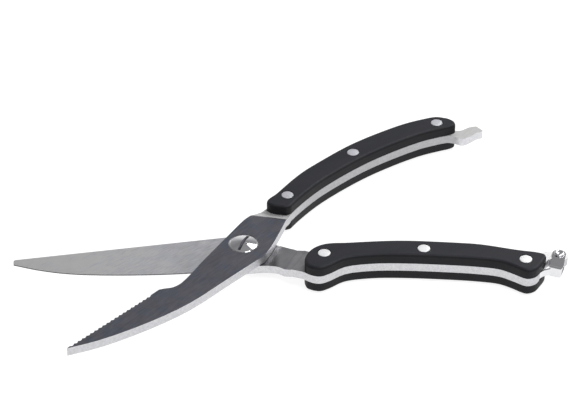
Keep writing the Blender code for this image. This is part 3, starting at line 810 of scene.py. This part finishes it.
def stirrup_plan(outside):
    """The stirrup seen from above: a web that widens into two round ears."""
    plan = [(WEB_LEFT, outside - PAST), (WEB_RIGHT, outside - PAST), (WEB_RIGHT, outside)]
    plan += [(WEB_TOP_RIGHT, -WEB_INSIDE), (WEB_TOP_RIGHT - EAR_TAPER, -EAR_WAIST)]
    return plan + on_arc(EAR_RADIUS, *EAR_ARC)


def stirrup_wedge(outside, low, high):
    """The tool that leans the web's right side, further out at the top."""

    def beyond(right):
        return ((right, WEDGE_FRONT), (right, outside - PAST), (FAR, outside - PAST), (FAR, WEDGE_FRONT))

    return loft((at_height(beyond(WEB_RIGHT), low - PAST), at_height(beyond(WEB_TOP_RIGHT), high)))


def add_latch_stirrup(material):
    """The latch: a bent sheet with two ears, a web and a curved finger tab."""
    low, high = (corner.z for corner in box_mm("latch_stirrup"))
    outside = -WEB_INSIDE - SHEET
    side = stirrup_side()
    blank = [[Vector((x, y, z)) for y, z in side] for x in (BLANK_HALF, -BLANK_HALF)]
    stirrup = new_object("latch_stirrup_fine", loft(blank))
    combined(stirrup, prism(stirrup_plan(outside), low - PAST, high + PAST), "INTERSECT")
    combined(stirrup, stirrup_wedge(outside, low, high), "DIFFERENCE")
    centre = rounded_line([Vector(point) for point in TAB_CENTRE], TAB_STEPS)
    combined(stirrup, prism(thickened(centre, SHEET / 2), TAB_LOW, TAB_HIGH), "UNION")
    hole = on_arc(PIN_HOLE_RADIUS, 0, 360, PIN_HOLE_SIDES)[:-1]
    combined(stirrup, prism(hole, low - PAST, high + PAST), "DIFFERENCE")
    stirrup.data.transform(Matrix.Rotation(math.radians(LATCH_LEAN), 4, "Z"))
    stirrup.location = (*(axis_of("latch_pin") * MM), 0.0)
    soften(stirrup, width=0.12, angle=40)
    shade(stirrup, angle=40)
    return finish_piece(stirrup, "latch", "chrome", material, "latch_stirrup")


def dress_packed(node, material):
    """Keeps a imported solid, smooth on its round faces."""
    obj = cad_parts[node]
    obj.data.materials.clear()
    obj.data.materials.append(material)
    obj.data.shade_smooth()
    weld = obj.modifiers.new("weld", "WELD")
    weld.merge_threshold = WELD * MM
    soften(obj, width=0.08, angle=40)


# Stage.


def add_floor():
    mesh = bmesh.new()
    bmesh.ops.create_grid(mesh, x_segments=8, y_segments=8, size=FLOOR_SIDE / 2)
    floor = new_object("floor", mesh)
    floor.location.z = -FLOOR_DROP * MM
    material, tree, shader = new_material("pale_floor")
    cloud = grain(tree, object_place(tree), 6.0)
    tree.links.new(blended(tree, cloud, (0.30, 0.30, 0.30), (0.32, 0.32, 0.32)), shader.inputs["Base Color"])
    shader.inputs["Roughness"].default_value = 0.9
    shader.inputs["Specular IOR Level"].default_value = 0.1
    shader.inputs["Emission Color"].default_value = (1.0, 1.0, 1.0, 1.0)
    shader.inputs["Emission Strength"].default_value = FLOOR_GLOW
    floor.data.materials.append(material)


def add_light(name, place, width, height, power):
    """A soft rectangular light that faces the origin."""
    data = bpy.data.lights.new(name, "AREA")
    data.shape = "RECTANGLE"
    data.size = width
    data.size_y = height
    data.energy = power
    light = bpy.data.objects.new(name, data)
    bpy.context.scene.collection.objects.link(light)
    light.location = place
    light.rotation_euler = (-Vector(place)).to_track_quat("-Z", "Y").to_euler()


def add_world():
    """A pale surround that darkens from the horizon up, for the polished flats to mirror."""
    world = bpy.data.worlds.new("surround")
    bpy.context.scene.world = world
    world.use_nodes = True
    tree = world.node_tree
    direction = add_node(tree, "ShaderNodeTexCoord").outputs["Generated"]
    height = add_node(tree, "ShaderNodeSeparateXYZ", {0: direction}).outputs[2]
    ramp = add_node(tree, "ShaderNodeValToRGB", {0: height})
    elements = ramp.color_ramp.elements
    ready = len(elements)
    for index, (position, value) in enumerate(SURROUND):
        element = elements[index] if index < ready else elements.new(position)
        element.position = position
        element.color = (value, value, value * SURROUND_BLUE, 1.0)
    background = tree.nodes["Background"]
    tree.links.new(ramp.outputs[0], background.inputs["Color"])
    background.inputs["Strength"].default_value = 1.0


def add_camera():
    data = bpy.data.cameras.new("camera")
    data.lens = CAMERA_LENS
    data.sensor_width = SENSOR_WIDTH
    data.clip_end = CAMERA_REACH * MM
    camera = bpy.data.objects.new("camera", data)
    bpy.context.scene.collection.objects.link(camera)
    elevation = math.radians(CAMERA_ELEVATION)
    back = Vector((0.0, -math.cos(elevation), math.sin(elevation)))
    camera.location = (Vector(CAMERA_AIM) + back * CAMERA_DISTANCE) * MM
    camera.rotation_euler = (math.pi / 2 - elevation, 0.0, 0.0)
    bpy.context.scene.camera = camera


def add_half(half, scale_material, rivet_material):
    """The scales and rivets of one half."""
    for side in ("top", "bottom"):
        add_scale(half, side, scale_material)
    for place in RIVET_PLACES:
        for kind in ("tube", "pin"):
            add_rivet_half(half, kind, place, rivet_material)


def add_pieces():
    dark, pale = dark_steel(), pale_steel()
    black = plastic("black_plastic_fine")
    bright = simple_steel(
        "rivet_steel_fine", (0.95, 0.95, 0.96), roughness=0.45, spread=0.04, scale=1500.0, metallic=0.35
    )
    # Painted shade: a darker, bluer copy of the rivet steel for the serrated half's rivets.
    painted_shade_rivets = simple_steel(
        "rivet_steel_painted_shade_fine", (0.66, 0.66, 0.71), roughness=0.45, spread=0.06, scale=1500.0, metallic=0.7
    )
    chrome = simple_steel("chrome_fine", (0.74, 0.74, 0.76), roughness=0.10, spread=0.02, scale=900.0)
    # Painted shade: near-black steel for the floor of the screw's slot.
    shaded = simple_steel("slot_painted_shade_fine", (0.05, 0.05, 0.06), roughness=0.50, spread=0.10, scale=900.0)
    wire = simple_steel("spring_steel_fine", (0.36, 0.36, 0.38), roughness=0.35, spread=0.08, scale=700.0)

    add_arm("plain_arm_fine", "plain_blade_arm", "plain_half", "ground_blade_steel", pale)
    add_arm("serrated_arm_fine", "serrated_blade_arm", "serrated_half", "satin_blade_steel", dark)
    add_half("plain", black, bright)
    add_half("serrated", black, painted_shade_rivets)
    add_pivot_screw(chrome, shaded)
    add_latch_pin(chrome)
    add_latch_stirrup(chrome)
    dress_packed("pivot_washer", bright)
    dress_packed("pivot_nut", bright)
    dress_packed("return_spring", wire)


def main():
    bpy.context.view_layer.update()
    add_camera()
    add_world()
    add_floor()
    for light in LIGHTS:
        add_light(*light)
    bpy.context.scene.view_settings.view_transform = "Standard"
    add_pieces()


main()
